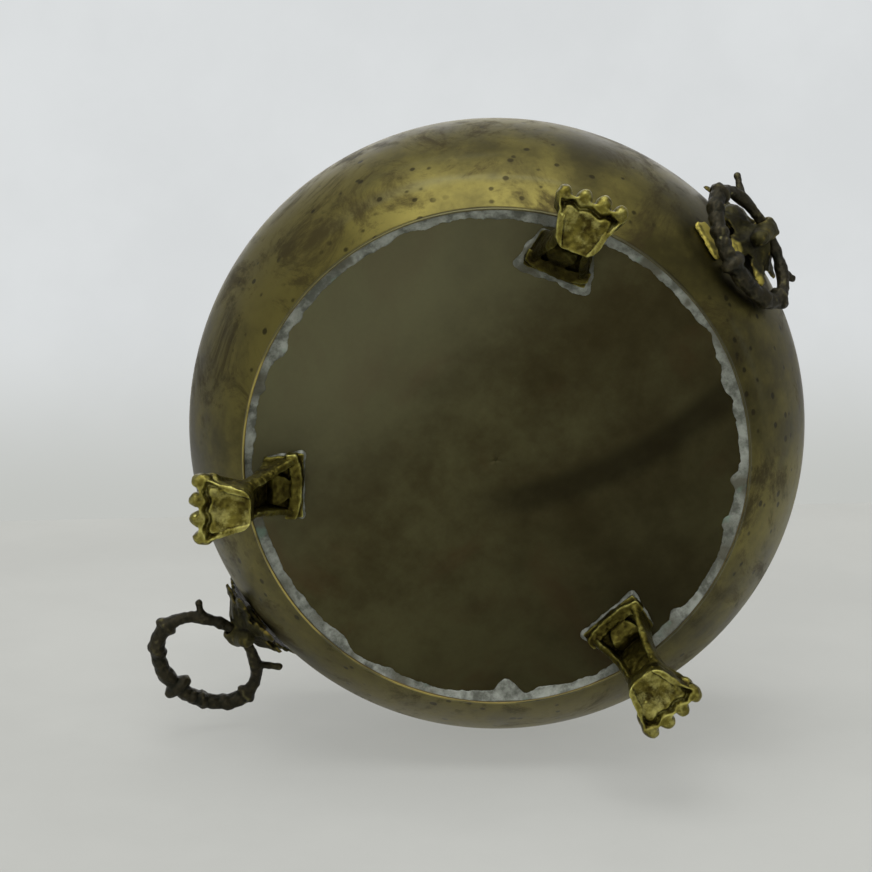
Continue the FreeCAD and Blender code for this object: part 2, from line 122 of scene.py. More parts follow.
def skin(field, low, high, pitch):
    """Closed quad mesh round the space where field(x, y, z) is negative (surface nets)."""
    axes = [np.arange(a - 2 * pitch, b + 2.5 * pitch, pitch) for a, b in zip(low, high)]
    value = field(*np.meshgrid(*axes, indexing="ij"))
    inside = value < 0
    cells = tuple(n - 1 for n in value.shape)

    def corner(array, offset):
        return array[tuple(slice(o, o + n) for o, n in zip(offset, cells))]

    offsets = [(i, j, k) for i in (0, 1) for j in (0, 1) for k in (0, 1)]
    count = sum(corner(inside, o).astype(int) for o in offsets)
    active = (count > 0) & (count < 8)
    number = np.full(cells, -1)
    number[active] = np.arange(active.sum())
    total, hits = np.zeros((active.sum(), 3)), np.zeros(active.sum())
    for axis in range(3):
        for start in (o for o in offsets if o[axis] == 0):
            end = tuple(o + (n == axis) for n, o in enumerate(start))
            a, b = corner(value, start)[active], corner(value, end)[active]
            crossed = (a < 0) != (b < 0)
            share = a[crossed] / (a[crossed] - b[crossed])
            point = np.tile(np.array(start, float), (len(share), 1))
            point[:, axis] += share
            total[crossed] += point
            hits[crossed] += 1
    origin = np.array([a[0] for a in axes])
    points = (np.argwhere(active) + total / hits[:, None]) * pitch + origin
    quads = []
    for axis in range(3):
        b, c = (axis + 1) % 3, (axis + 2) % 3
        first = inside[tuple(slice(0, -1) if n == axis else slice(None) for n in range(3))]
        second = inside[tuple(slice(1, None) if n == axis else slice(None) for n in range(3))]
        at = np.argwhere(first != second)
        at = at[(at[:, b] > 0) & (at[:, c] > 0)]
        step_b, step_c = np.eye(3, dtype=int)[b], np.eye(3, dtype=int)[c]
        ring = [at, at - step_b, at - step_b - step_c, at - step_c]
        quad = np.stack([number[tuple(cell.T)] for cell in ring], -1)
        outward = first[tuple(at.T)]
        quads.append(np.where(outward[:, None], quad, quad[:, ::-1]))
    return points, np.concatenate(quads)


def roughen(points, amount, grain, seed, soften=0.0):
    """Points moved by fractal noise, as a sand casting's surface is."""
    moved = np.array(points)
    shift = Vector((seed * 17.3, seed * 5.1, seed * 9.7))
    for index, point in enumerate(moved):
        at = Vector(point) / grain + shift
        moved[index] += amount * np.array(noise.noise_vector(at))
        if soften:
            moved[index] += soften * np.array(noise.noise_vector(at * 0.22))
    return moved


def turned(points, axis, degrees):
    """Points turned about x, y or z through the origin."""
    a = math.radians(degrees)
    c, s = math.cos(a), math.sin(a)
    first, second = {"x": (1, 2), "y": (2, 0), "z": (0, 1)}[axis]
    out = np.array(points, float)
    out[:, first] = c * points[:, first] - s * points[:, second]
    out[:, second] = s * points[:, first] + c * points[:, second]
    return out


# ---- distance fields ------------------------------------------------------------------
def blended(softness, *fields):
    """Smooth union."""
    result = fields[0]
    for other in fields[1:]:
        share = np.clip(0.5 + 0.5 * (other - result) / softness, 0, 1)
        result = other + (result - other) * share - softness * share * (1 - share)
    return result


def carved(softness, solid, tool):
    """Smooth subtraction of tool from solid."""
    return -blended(softness, -solid, tool)


def round_cone(x, y, z, start, end, r_start, r_end):
    (ax, ay, az), (bx, by, bz) = start, end
    dx, dy, dz = bx - ax, by - ay, bz - az
    t = ((x - ax) * dx + (y - ay) * dy + (z - az) * dz) / (dx * dx + dy * dy + dz * dz)
    t = np.clip(t, 0, 1)
    away = np.sqrt((x - ax - t * dx) ** 2 + (y - ay - t * dy) ** 2 + (z - az - t * dz) ** 2)
    return away - (r_start + t * (r_end - r_start))


def ellipsoid(x, y, z, centre, radii):
    scaled = [(p - c) / r for p, c, r in zip((x, y, z), centre, radii)]
    k = np.sqrt(sum(q * q for q in scaled))
    slope = np.sqrt(sum((q / r) ** 2 for q, r in zip(scaled, radii)))
    return k * (k - 1) / np.maximum(slope, 1e-6)


def rounded_box(x, y, half_x, half_y, corner):
    """Two-dimensional rounded rectangle; the half sizes may vary over space."""
    qx, qy = np.abs(x) - half_x + corner, np.abs(y) - half_y + corner
    outside = np.hypot(np.maximum(qx, 0), np.maximum(qy, 0))
    return outside + np.minimum(np.maximum(qx, qy), 0) - corner


# ---- bowl -----------------------------------------------------------------------------
def wall_profile():
    """Closed section of the spun wall: lip, outside, rolled rim, inside."""
    base = math.acos((LIP_IN_R + SHEET - LOWER_C_R) / LOWER_ARC_R)
    base_in = math.acos((LIP_IN_R - LOWER_C_R) / (LOWER_ARC_R - SHEET))
    mouth = math.acos((MOUTH_R - UPPER_C_R) / UPPER_ARC_R)
    mouth_z = WIDEST_Z + UPPER_ARC_R * math.sin(mouth)

    def arc(centre_r, centre_z, radius, start, end, steps):
        t = np.linspace(start, end, steps)
        return np.stack([centre_r + radius * np.cos(t), centre_z + radius * np.sin(t)], -1)

    lip_out = LIP_IN_R + SHEET
    bead_r = MOUTH_R - SHEET / 2
    outside = [
        [[LIP_IN_R + 0.15, LIP_Z], [LIP_IN_R + 0.5, LIP_Z - 0.12], [lip_out - 0.3, LIP_Z],
         [lip_out, LIP_Z + 0.35], [lip_out, DISC_Z - 0.9], [lip_out + 0.02, DISC_Z - 0.3]],
        arc(LOWER_C_R, WIDEST_Z, LOWER_ARC_R, -base + 0.006, 0, 60),
        arc(UPPER_C_R, WIDEST_Z, UPPER_ARC_R, 0.02, mouth - 0.05, 40),
        arc(bead_r, mouth_z, RIM_BEAD_R, -0.75, math.pi * 1.3, 18),
    ]
    inside = [
        arc(UPPER_C_R, WIDEST_Z, UPPER_ARC_R - SHEET, mouth - 0.07, 0.02, 36),
        arc(LOWER_C_R, WIDEST_Z, LOWER_ARC_R - SHEET, 0, -base_in, 50),
        [[LIP_IN_R, LIP_Z + 0.35]],
    ]
    rows = [np.asarray(part, float) for part in outside + inside]
    return np.concatenate(rows), sum(len(part) for part in outside[:3])


def hand_worked(angles, r, z):
    """Slight unevenness of a spun and much-handled wall, inward only."""
    dents = np.zeros_like(r)
    unevenness = ((3, 0.16, 0.4, 0.02), (5, 0.10, 2.1, -0.03), (9, 0.05, 1.1, 0.06))
    for waves, amount, phase, rise in unevenness:
        dents += amount * (np.sin(waves * angles + phase + rise * z) - 1)
    return r + 0.5 * dents, z


def build_bowl():
    """Spun wall with its lip and rolled rim, dull inside."""
    profile, outside_rows = wall_profile()
    points, quads = lathe(profile, 288, hand_worked)
    row = quads[:, 0] % len(profile)
    return piece("spun_bowl", points, quads, "bowl", ["bowl_body"],
                 [bowl_outside(), bowl_inside()], (row >= outside_rows + 12).astype(int))


def build_disc():
    """Base disc, very slightly dished and uneven where the feet were heated."""
    rings = np.concatenate([np.linspace(0.02, DISC_R - 0.4, 70), [DISC_R]])
    under = np.stack([rings, np.full(len(rings), DISC_Z)], -1)
    over = under[::-1].copy()
    over[:, 1] = DISC_TOP_Z

    def uneven(angles, r, z):
        swell = 0.10 * np.sin(2 * angles + 0.7 + r * 0.03) + 0.07 * np.sin(5 * angles - r * 0.06)
        swell += 0.12 * np.cos(r * 0.045 + 0.5)
        fade = np.clip((DISC_R - 3 - r) / 20, 0, 1)
        return r, z + (0.25 + swell) * fade
    points, quads = lathe(np.concatenate([under, over]), 240, uneven)
    return piece("dished_disc", points, quads, "bowl", ["base_disc"],
                 [disc_patina()])


def build_seam():
    """Hand-run solder between disc and lip, with a ragged inner edge."""
    steps, across = 1440, 9
    angles = np.arange(steps) * 2 * math.pi / steps
    points = np.zeros((steps, across, 3))
    for i, angle in enumerate(angles):
        place = Vector((math.cos(angle), math.sin(angle), 0.0))
        broad = noise.fractal(place * 2.3 + Vector((4, 1, 0)), 0.7, 2.0, 2)
        ragged = noise.fractal(place * 13 + Vector((0, 7, 2)), 0.8, 2.1, 4)
        blob = max(0.0, noise.noise(place * 8 + Vector((2, 5, 1))) - 0.28)
        thin = max(0.0, noise.noise(place * 5 + Vector((9, 2, 6))) - 0.12)
        width = max(0.7, 4.1 + 1.5 * broad + 1.0 * ragged + 12.0 * blob - 6.5 * thin)
        height = min(1.6, 0.5 + 0.26 * width) + 0.2 * ragged
        for j in range(across):
            t = j / (across - 1.0)
            r = LIP_IN_R + 0.05 - width * t
            fall = (1 - t) ** 1.5 * height + 0.10 * (1 - t) + 0.03
            ripple = 0.10 * noise.noise(place * 45 + Vector((0, 0, t * 3))) * (1 - t)
            z = DISC_Z - fall - ripple if j < across - 1 else DISC_Z
            points[i, j] = (r * place.x, r * place.y, z)
    backs = points.copy()
    backs[:, :, 2] = DISC_Z + 0.35
    loop = np.concatenate([points, backs[:, ::-1][:, [0, -1]]], axis=1)
    count = loop.shape[1]
    i, j = np.meshgrid(np.arange(steps), np.arange(count), indexing="ij")
    i2, j2 = (i + 1) % steps, (j + 1) % count
    quads = np.stack([i * count + j, i * count + j2, i2 * count + j2, i2 * count + j], -1)
    return piece("solder_seam", loop.reshape(-1, 3), quads.reshape(-1, 4), "bowl",
                 ["base_solder_seam"], [solder()])


# ---- feet -----------------------------------------------------------------------------
LEG = np.array([
    # height; inner radius and width; outer radius and width; corner
    (50.0, 84.6, 27.0, 100.0, 22.5, 1.6), (44.0, 86.6, 25.6, 100.8, 20.6, 2.0),
    (36.0, 91.0, 21.6, 103.0, 18.2, 2.6), (27.0, 96.2, 18.0, 106.2, 16.6, 3.2),
    (20.0, 99.4, 16.4, 109.8, 17.6, 3.6), (12.0, 100.9, 15.8, 115.8, 21.6, 4.2),
    (6.0, 101.0, 15.6, 120.6, 26.4, 4.0), (0.0, 101.0, 15.8, 122.6, 28.0, 4.0)])[::-1]
# Toes: sideways place and reach of the tip.
TOES = ((-11.9, 125.2), (-4.1, 126.6), (4.0, 126.8), (11.8, 125.6))
HEEL_R = 101.0


def leg_row(z, column):
    """One measure of the leg at a height."""
    return np.interp(z, LEG[:, 0], LEG[:, column])


def leg_half_width(x, z):
    """Half the width of the leg between its inner and outer faces."""
    share = np.clip((x - leg_row(z, 1)) / (leg_row(z, 3) - leg_row(z, 1)), 0, 1)
    return 0.5 * (leg_row(z, 2) * (1 - share) + leg_row(z, 4) * share)


def leg_column(x, y, z):
    """The leg before it is hollowed."""
    middle, half = (leg_row(z, 1) + leg_row(z, 3)) / 2, (leg_row(z, 3) - leg_row(z, 1)) / 2
    return rounded_box(x - middle, y, half, leg_half_width(x, z), leg_row(z, 5))


def toes(x, y, z):
    """Four toes with knuckles and tendons that run up the ankle."""
    parts = []
    for across, tip in TOES:
        parts.append(ellipsoid(x, y, z, (tip - 4.4, across, 3.3), (4.4, 3.3, 3.7)))
        parts.append(ellipsoid(x, y, z, (tip - 7.4, across * 0.94, 6.8), (4.2, 3.1, 3.7)))
        parts.append(round_cone(x, y, z, (tip - 9.4, across * 0.9, 8.6),
                                (107.6, across * 0.45, 27.0), 2.6, 1.3))
    return blended(1.5, *parts)


def sole_carving(x, y, z):
    """Hollow sole: a dished cushion with a groove round its notched front and its sides."""
    side = np.abs(y) - leg_half_width(x, 1.0 + 0 * z) + 2.7
    front = x - 118.2 - 0.7 * np.cos(0.8 * y)
    cushion = -blended(1.2, -side, -front)
    reach = np.clip((x - HEEL_R - 1.5) / 9.0, 0, 1)
    toward_toes = np.clip((x - 112.0) / 6.0, 0, 1)
    sunk = np.clip(1 - np.abs(cushion - 0.7) / (0.3 + 1.5 * toward_toes), 0, 1)
    groove = 0.6 * (z - 2.6 * reach * toward_toes * sunk)
    bowl = 0.5 + 1.3 * np.clip(1 - (y / 9.5) ** 2 - ((x - 108.5) / 9.5) ** 2, 0, 1)
    dish = np.maximum(cushion, z - bowl)
    return np.minimum(groove, dish)


def pad_outline(x, y, corner):
    """The foot's soldering pad seen from below, wider at its inner edge."""
    half = np.interp(x, (PAD_IN_R, PAD_OUT_R), (PAD_HALF_IN, PAD_HALF_OUT))
    return rounded_box(x - FOOT_PIVOT_R, y, (PAD_OUT_R - PAD_IN_R) / 2, half, corner)


def paw(x, y, z):
    """Cast foot: pad, funnel-shaped leg open inward, four toes and the grooved sole."""
    leg = np.maximum(leg_column(x, y, z), z - 49.9)
    body = blended(1.2, leg, toes(x, y, z))
    pad = np.maximum(pad_outline(x, y, 1.0), np.abs(z - 48.6) - 1.4)
    bend = 0.012 * y ** 2
    slab = rounded_box(x - 85.9 - bend, y, 2.6, PAD_HALF_IN, 1.0)
    slab = np.maximum(slab, np.abs(z - 47.0) - 2.9)
    channel = np.maximum(np.abs(y) - leg_half_width(x, z) + 2.7, x - leg_row(z, 3) + 2.6)
    channel = np.maximum(channel, np.maximum(z - 47.6, 12.5 + 0.25 * (x - 100) - z))
    body = carved(0.9, body, channel)
    gate = np.maximum(np.hypot(x - 94.6, y + 0.6) - 6.6, np.abs(z - 45.0) - 4.6)
    gate = np.maximum(gate, 0.8 * (42.4 - z + 0.13 * (x - 94.6) ** 2 - 2.0))
    body = blended(0.9, body, pad, slab, gate)
    body = carved(0.45, body, sole_carving(x, y, z))
    return np.maximum(body, 0.02 - z)


def placed_foot(points, name):
    """Points of a foot moved to its place on the disc."""
    centred = points - np.array([FOOT_PIVOT_R, 0, 0])
    yawed = turned(centred, "z", FOOT_YAWS[name]) + np.array([FOOT_PIVOT_R, 0, 0])
    return turned(yawed, "z", FOOT_AZIMUTHS[name])


def build_feet():
    """The three feet, each with its own casting roughness and painted shade on the leg."""
    points, quads = skin(paw, (82.5, -16.0, 0), (127.5, 16.0, 50.0), 0.45)
    for seed, name in enumerate(FOOT_AZIMUTHS):
        rough = roughen(points, 0.34, 2.3, seed + 1, 0.35)
        rough[:, 2] = np.clip(rough[:, 2], 0.0, DISC_Z)
        piece("paw_" + name, placed_foot(rough, name), quads, "bowl",
              ["paw_foot_" + name], [foot_brass(name)])


# Reach beyond the pad and height of each foot's solder.
SOLDER_AMOUNT = {"front": (1.3, 0.8), "back_right": (0.9, 0.6), "back_left": (3.2, 1.6)}


def build_foot_solder():
    """Solder run round three sides of each pad."""
    finish = solder()
    for seed, (name, (reach, height)) in enumerate(SOLDER_AMOUNT.items()):
        def bead(x, y, z):
            edge = pad_outline(x, y, 1.2)
            wave = (np.sin(0.43 * y + seed * 2.1) + np.sin(0.61 * x + 1.3 * seed)
                    + 0.6 * np.sin(1.1 * y - 0.7 * x + seed))
            corners = np.exp(-((x - PAD_IN_R) ** 2 + (np.abs(y) - PAD_HALF_IN) ** 2) / 26.0)
            span = reach * (1.0 + 0.2 * wave + 0.9 * corners)
            span = span * np.clip((PAD_OUT_R + 1 - x) / 8.0, 0, 1)
            share = np.clip(edge / np.maximum(span, 0.05), -0.4, 1.6)
            depth = (height + 1.2) * np.clip(1 - share, 0, 1) ** 1.5 - 0.25
            return np.maximum(np.maximum(DISC_Z - z - depth, -0.9 - edge), z - DISC_Z + 0.02) * 0.7
        low = (PAD_IN_R - 9, -PAD_HALF_IN - 9, DISC_Z - 3.0)
        high = (PAD_OUT_R + 1, PAD_HALF_IN + 9, DISC_Z)
        points, quads = skin(bead, low, high, 0.4)
        points = roughen(points, 0.18, 2.0, seed + 11)
        points[:, 2] = np.clip(points[:, 2], 0, DISC_Z + 0.1)
        piece("pad_solder_" + name, placed_foot(points, name), quads, "bowl",
              ["foot_solder_" + name], [finish])


# ---- handles --------------------------------------------------------------------------
# Lobes of the leaf from its middle: tip sideways, tip upward, radius of the tip.
LOBES = ((3.0, 30.0, 3.2), (15.0, 24.0, 3.2), (16.5, 2.0, 3.2), (12.5, -18.5, 3.2),
         (-6.0, -22.0, 3.0), (-16.0, -5.0, 3.2), (-25.0, 21.5, 3.4), (-10.0, 22.0, 3.2))
# The left handle's leaf has two more tips, filed flat on the wall: root, tip and their radii.
LOWER_TIPS = (((-5.0, -14.0), (-13.0, -25.0), 5.5, 4.6), ((-20.8, -24.0), (-10.5, -28.6), 3.4, 3.8))


def above_wall(x, y, z):
    """Distance outside the bowl's outer wall."""
    rho = np.hypot(x, y)
    lower = np.hypot(rho - LOWER_C_R, z - WIDEST_Z) - LOWER_ARC_R
    upper = np.hypot(rho - UPPER_C_R, z - WIDEST_Z) - UPPER_ARC_R
    return np.where(z < WIDEST_Z, lower, upper)


def axle_frame(x, y, z, side):
    """Points given in the mount's level frame, seen from the ring's axle: (out, along, across)."""
    rest = RING_REST[side]
    px = x - MOUNT_WALL_R - AXLE_OUT * math.cos(MOUNT_TILT)
    pz = z - MOUNT_Z + AXLE_OUT * math.sin(MOUNT_TILT)
    yaw, roll = math.radians(-rest["yaw"]), math.radians(-rest["roll"])
    qx = px * math.cos(yaw) - y * math.sin(yaw)
    qy = px * math.sin(yaw) + y * math.cos(yaw)
    return qx, qy * math.cos(roll) - pz * math.sin(roll), qy * math.sin(roll) + pz * math.cos(roll)


def leaf_mount(side):
    """Cast leaf plate, its dome and the eye for the ring, as a field."""
    def field(x, y, z):
        off = above_wall(x, y, z)
        up = z - MOUNT_Z
        outline, vein = None, None
        for s, h, tip in LOBES:
            length = math.hypot(s, h)
            t = np.clip((y * s + up * h) / length ** 2, 0, 1)
            away = np.hypot(y - t * s, up - t * h)
            belly = 3.2 + 3.4 * np.sin(np.pi * np.clip(t * 1.05, 0, 1)) * (1 - 0.25 * t)
            lobe = away - np.where(t < 0.97, belly + (tip - 3.2) * t, tip)
            outline = lobe if outline is None else blended(1.6, outline, lobe)
            vein = away if vein is None else np.minimum(vein, away)
        outline = outline + 0.7 * np.sin(0.9 * y + 0.7 * up) * np.sin(0.8 * up - 0.5 * y)
        crown = np.clip(-outline / 5.0, 0, 1)
        relief = 3.9 + 1.5 * np.sqrt(crown) + 0.8 * np.exp(-(vein / 1.1) ** 2) * crown
        plate = np.maximum(np.maximum(off - relief, PLATE_GAP - off), outline)
        tips = [round_cone(y, up, 0 * up, (*root, 0), (*tip, 0), r_root, r_tip)
                for root, tip, r_root, r_tip in LOWER_TIPS]
        tail = np.minimum.reduce(tips) + 0.4 * np.sin(1.1 * up + 0.5 * y)
        tail = np.maximum(np.maximum(off - 1.9, 0.4 - off), tail)
        ax = np.array([math.cos(MOUNT_TILT), 0, -math.sin(MOUNT_TILT)])
        px, pz = x - MOUNT_WALL_R, up
        out = px * ax[0] + pz * ax[2]
        around = np.hypot(y, pz * ax[0] - px * ax[2])
        flutes = (0.2 + 0.06 * around) * np.sin(6 * np.arctan2(pz, y) + 0.4 * out)
        dome_r = np.interp(out, (4, 8, AXLE_OUT), (15.2, 10.6, 4.8))
        dome = np.maximum((around - dome_r + flutes) * 0.7, np.maximum(out - 13.0, 3.6 - out))
        boss = np.maximum(around - 7.0, np.maximum(out - 5, 0.3 - out))
        qx, qy, qz = axle_frame(x, y, z, side)
        swing_room = np.hypot(qx, qz) - SWING_ROOM_R
        dome = carved(0.5, dome, np.maximum(swing_room, EYE_HALF_L - np.abs(qy)))
        past, beyond = np.hypot(qx, qz) - EYE_R + 2.0, np.abs(qy) - EYE_HALF_L + 1.6
        knuckle = np.hypot(np.maximum(past, 0), np.maximum(beyond, 0)) - 1.5
        knuckle = knuckle + np.minimum(np.maximum(past, beyond), 0)
        knuckle = blended(1.0, knuckle, np.hypot(np.hypot(qx, qz) - 4.1, qy * 0.32) - 0.9)
        strap = round_cone(qx, qy * 1.15, qz, (-0.5, 0, -2.0), (-4.5, 0, -10.5), 4.9, 4.2)
        knuckle = blended(1.2, knuckle, strap)
        brow = ellipsoid(out, y, pz * ax[0] - px * ax[2], (3.6, -11.0, 4.0), (5.6, 7.6, 8.0))
        body = blended(1.6, plate, dome)
        if side == "left":
            body = blended(1.6, body, brow, tail)
        body = blended(0.8, body, boss, knuckle)
        return carved(0.5, body, np.hypot(qx, qz) - EYE_HOLE_R)
    return field


def build_mounts():
    """Both handle plates."""
    for seed, side in enumerate(("right", "left")):
        points, quads = skin(leaf_mount(side), (118, -31, 65), (157, 31, 139), 0.5)
        points = roughen(points, 0.3, 2.6, seed + 21, 0.2)
        points = turned(points, "z", RING_REST[side]["azimuth"])
        piece("leaf_mount_" + side, points, quads, "bowl",
              ["handle_mount_" + side], [mount_bronze(side)])


HALF_W, HALF_H, SIDE_ARC_R = 26.3, 19.0, 15.0
END_ARC_R = ((HALF_H ** 2 + (HALF_W - SIDE_ARC_R) ** 2 - SIDE_ARC_R ** 2)
             / (2 * (HALF_H - SIDE_ARC_R)))
# Thickness of the twig by angle from the eye.
TWIG = np.array(((0, 2.3), (38, 2.35), (52, 3.0), (70, 2.65), (84, 3.0), (96, 3.5), (125, 3.35),
                 (160, 3.55), (180, 3.7)))
# Burls: angle, side and size.
BURLS = ((30.0, 1, 0.5), (118.0, 1, 0.9), (140.0, -1, 0.8), (112.0, -1, 0.5), (155.0, 1, 0.6))


def twig_ring(x, y, z):
    """Oval ring with its axle line on y, far knot on +x."""
    u = x - (HALF_H - 0.15)
    v = np.abs(y)
    side_y, end_x = HALF_W - SIDE_ARC_R, END_ARC_R - HALF_H
    side = np.hypot(u, v - side_y) - SIDE_ARC_R
    end = np.hypot(np.abs(u) + end_x, v) - END_ARC_R
    across = np.where(v > side_y + side_y / end_x * np.abs(u), side, end)
    angle = np.degrees(np.arctan2(v, -u))
    radius = np.interp(angle, TWIG[:, 0], TWIG[:, 1])
    for at, sign, size in BURLS:
        radius = radius + size * np.exp(-((angle - at) / 5.0) ** 2) * (np.sign(y) == sign)
    bark = np.sin(0.47 * angle + np.sign(y)) + np.sin(0.31 * angle + 2.2 * z) * np.sin(0.9 * z + y)
    radius = radius + 0.16 * bark * np.clip((angle - 70) / 12.0, 0, 1)
    tube = np.hypot(across, z) - radius
    parts = [tube]
    for sign, length in ((1, 5.6), (-1, 8.8)):
        root = (-13.6, sign * 18.0, 0)
        tip = (root[0] - 0.58 * (2.3 + length), root[1] + sign * 0.815 * (2.3 + length), 0)
        parts.append(round_cone(u, y, z, root, tip, 2.0, 1.35))
        parts.append(ellipsoid(u, y, z, tip, (1.6, 1.5, 1.6)))
        parts.append(ellipsoid(u, y, z, (0, sign * HALF_W, 0), (2.7, 5.0, 4.4)))
        parts.append(ellipsoid(u, y, z, (1.2, sign * (HALF_W + 2.4), 1.2), (2.3, 2.6, 2.6)))
    parts.append(ellipsoid(u, y, z, (HALF_H, 0, 0), (6.9, 3.3, 4.9)))
    parts.append(ellipsoid(u, y, z, (HALF_H - 4.2, -0.8, 0.6), (2.9, 2.8, 2.9)))
    return blended(0.9, *parts)


def build_rings():
    """Both twig rings, hung as they rest."""
    finish = ring_bronze()
    points, quads = skin(twig_ring, (-7, -32, -6), (46, 32, 6), 0.5)
    for seed, (side, rest) in enumerate(RING_REST.items()):
        rough = roughen(points, 0.34, 2.2, seed + 31, 0.3)
        hung = turned(turned(rough, "y", rest["swing"]), "x", rest["roll"])
        hung = turned(hung, "z", rest["yaw"])
        hung = hung + np.array([MOUNT_WALL_R + AXLE_OUT * math.cos(MOUNT_TILT), 0,
                                MOUNT_Z - AXLE_OUT * math.sin(MOUNT_TILT)])
        piece("twig_ring_" + side, turned(hung, "z", rest["azimuth"]), quads, "ring_" + side,
              ["ring_handle_" + side], [finish])


# ---- finishes -------------------------------------------------------------------------
class Value:
    """A number socket; arithmetic on it adds Math nodes."""

    def __init__(self, tree, socket):
        self.tree, self.socket = tree, socket

    def _with(self, operation, first, second):
        node = self.tree.add("ShaderNodeMath", {"operation": operation}, {0: first, 1: second})
        return Value(self.tree, node.outputs[0])

    def __add__(self, other):
        return self._with("ADD", self, other)

    __radd__ = __add__

    def __sub__(self, other):
        return self._with("SUBTRACT", self, other)

    def __rsub__(self, other):
        return self._with("SUBTRACT", other, self)

    def __mul__(self, other):
        return self._with("MULTIPLY", self, other)

    __rmul__ = __mul__

    def __pow__(self, other):
        return self._with("POWER", self, other)


class Finish:
    """A material: a Principled shader and the nodes that feed it."""

    def __init__(self, name):
        self.material = bpy.data.materials.new(name)
        self.material.use_nodes = True
        self.nodes = self.material.node_tree.nodes
        self.links = self.material.node_tree.links
        self.shader = self.nodes["Principled BSDF"]
        self.place = self.add("ShaderNodeTexCoord").outputs["Object"]

    def add(self, kind, settings=None, sockets=None):
        node = self.nodes.new(kind)
        for key, setting in (settings or {}).items():
            if key == "stops":
                ramp = node.color_ramp
                while len(ramp.elements) < len(setting):
                    ramp.elements.new(0.5)
                for element, (position, colour) in zip(ramp.elements, setting):
                    element.position, element.color = position, colour
            else:
                setattr(node, key, setting)
        self.feed(node, sockets or {})
        return node

    def feed(self, node, sockets):
        for key, value in sockets.items():
            socket = node.inputs[key]
            if isinstance(value, Value):
                self.links.new(value.socket, socket)
            elif isinstance(value, bpy.types.NodeSocket):
                self.links.new(value, socket)
            else:
                socket.default_value = value

    def noise(self, scale, detail=4.0, rough=0.55, place=None, distort=0.0):
        node = self.add("ShaderNodeTexNoise", None, {
            "Vector": place or self.place, "Scale": scale, "Detail": detail,
            "Roughness": rough, "Distortion": distort})
        return Value(self, node.outputs["Fac"])

    def spots(self, scale, place=None):
        node = self.add("ShaderNodeTexVoronoi", {"feature": "F1"},
                        {"Vector": place or self.place, "Scale": scale})
        return Value(self, node.outputs["Distance"])

    def stretched(self, scale, location=(0, 0, 0)):
        node = self.add("ShaderNodeMapping", None,
                        {"Vector": self.place, "Scale": scale, "Location": location})
        return node.outputs[0]

    def step(self, value, low, high, out_low=0.0, out_high=1.0):
        node = self.add("ShaderNodeMapRange", {"interpolation_type": "SMOOTHSTEP"},
                        {"Value": value, "From Min": low, "From Max": high,
                         "To Min": out_low, "To Max": out_high})
        return Value(self, node.outputs[0])

    def coordinate(self, axis):
        node = self.add("ShaderNodeSeparateXYZ", None, {0: self.place})
        return Value(self, node.outputs[axis])

    def mix(self, share, first, second):
        node = self.add("ShaderNodeMix", {"data_type": "RGBA"},
                        {"Factor": share, 6: first, 7: second})
        return node.outputs[2]

    def relief(self, height, strength, distance):
        node = self.add("ShaderNodeBump", None,
                        {"Height": height, "Strength": strength, "Distance": distance})
        return node.outputs[0]

    def done(self, **sockets):
        names = {"colour": "Base Color", "roughness": "Roughness", "metallic": "Metallic",
                 "normal": "Normal"}
        self.feed(self.shader, {names[key]: value for key, value in sockets.items()})
        return self.material


def rgb(r, g, b):
    """A colour written as it looks (sRGB 0-255) in the linear values that nodes hold."""
    def linear(c):
        c = c / 255.0
        return c / 12.92 if c <= 0.04045 else ((c + 0.055) / 1.055) ** 2.4
    return (linear(r), linear(g), linear(b), 1.0)


def darker(colour, share):
    """The colour with a share of its light."""
    return tuple(c * share for c in colour[:3]) + (1.0,)


def bowl_outside():
    """Old brass: polish, tarnish clouds, dark spots, the lip partly worn and partly a painted
    highlight, and the side toward the table painted lighter as a reflection.
    """
    m = Finish("bowl_outside")
    cloud = m.noise(9.0, 5.0, 0.6)
    mottle = m.noise(48.0, 6.0, 0.65)
    fine = m.noise(420.0, 3.0, 0.6)
    bands = m.noise(6.0, 4.0, 0.5, m.stretched((1.0, 1.0, 9.0)))
    colour = m.mix(m.step(cloud * 0.6 + mottle * 0.4, 0.38, 0.62),
                   rgb(70, 65, 36), rgb(116, 108, 57))
    colour = m.mix(m.step(bands, 0.55, 0.75, 0.0, 0.5), colour, rgb(104, 104, 84))
    tarnish = m.step(m.noise(24.0, 7.0, 0.75, distort=0.6), 0.48, 0.64, 0.0, 0.8)
    colour = m.mix(tarnish, colour, rgb(62, 54, 34))
    pits = m.step(m.spots(120.0) + mottle * 0.35, 0.38, 0.28, 0.0, 0.8)
    pits = pits * m.step(m.noise(16.0, 3.0), 0.44, 0.54)
    colour = m.mix(pits, colour, rgb(40, 36, 22))
    # Painted reflection: the side toward the table is painted lighter, as if it reflected the
    # cloth.
    toward_table = 0.62 * m.coordinate(0) - 0.79 * m.coordinate(1)
    colour = m.mix(m.step(toward_table, 0.085, 0.135, 0.0, 0.15), colour, rgb(158, 152, 104))
    lip = m.step(m.coordinate(2), (LIP_Z + 1.4) * MM, (LIP_Z + 0.5) * MM)
    # The lip's bright line, on the x > 0 half only, is partly wear and partly a painted highlight
    # where the rim's edge catches the light.
    worn = m.step(m.coordinate(0), 0.0, 0.06) * m.step(m.noise(30.0, 4.0), 0.36, 0.60)
    colour = m.mix(0.5 * lip, colour, rgb(92, 92, 76))
    colour = m.mix(lip * worn, colour, rgb(168, 154, 88))
    rough = 0.30 + 0.2 * mottle + 0.2 * tarnish + 0.1 * fine
    normal = m.relief(mottle * 0.5 + fine * 0.3 - pits * 0.5, 0.12, 0.0006)
    return m.done(colour=colour, roughness=rough, metallic=1.0, normal=normal)


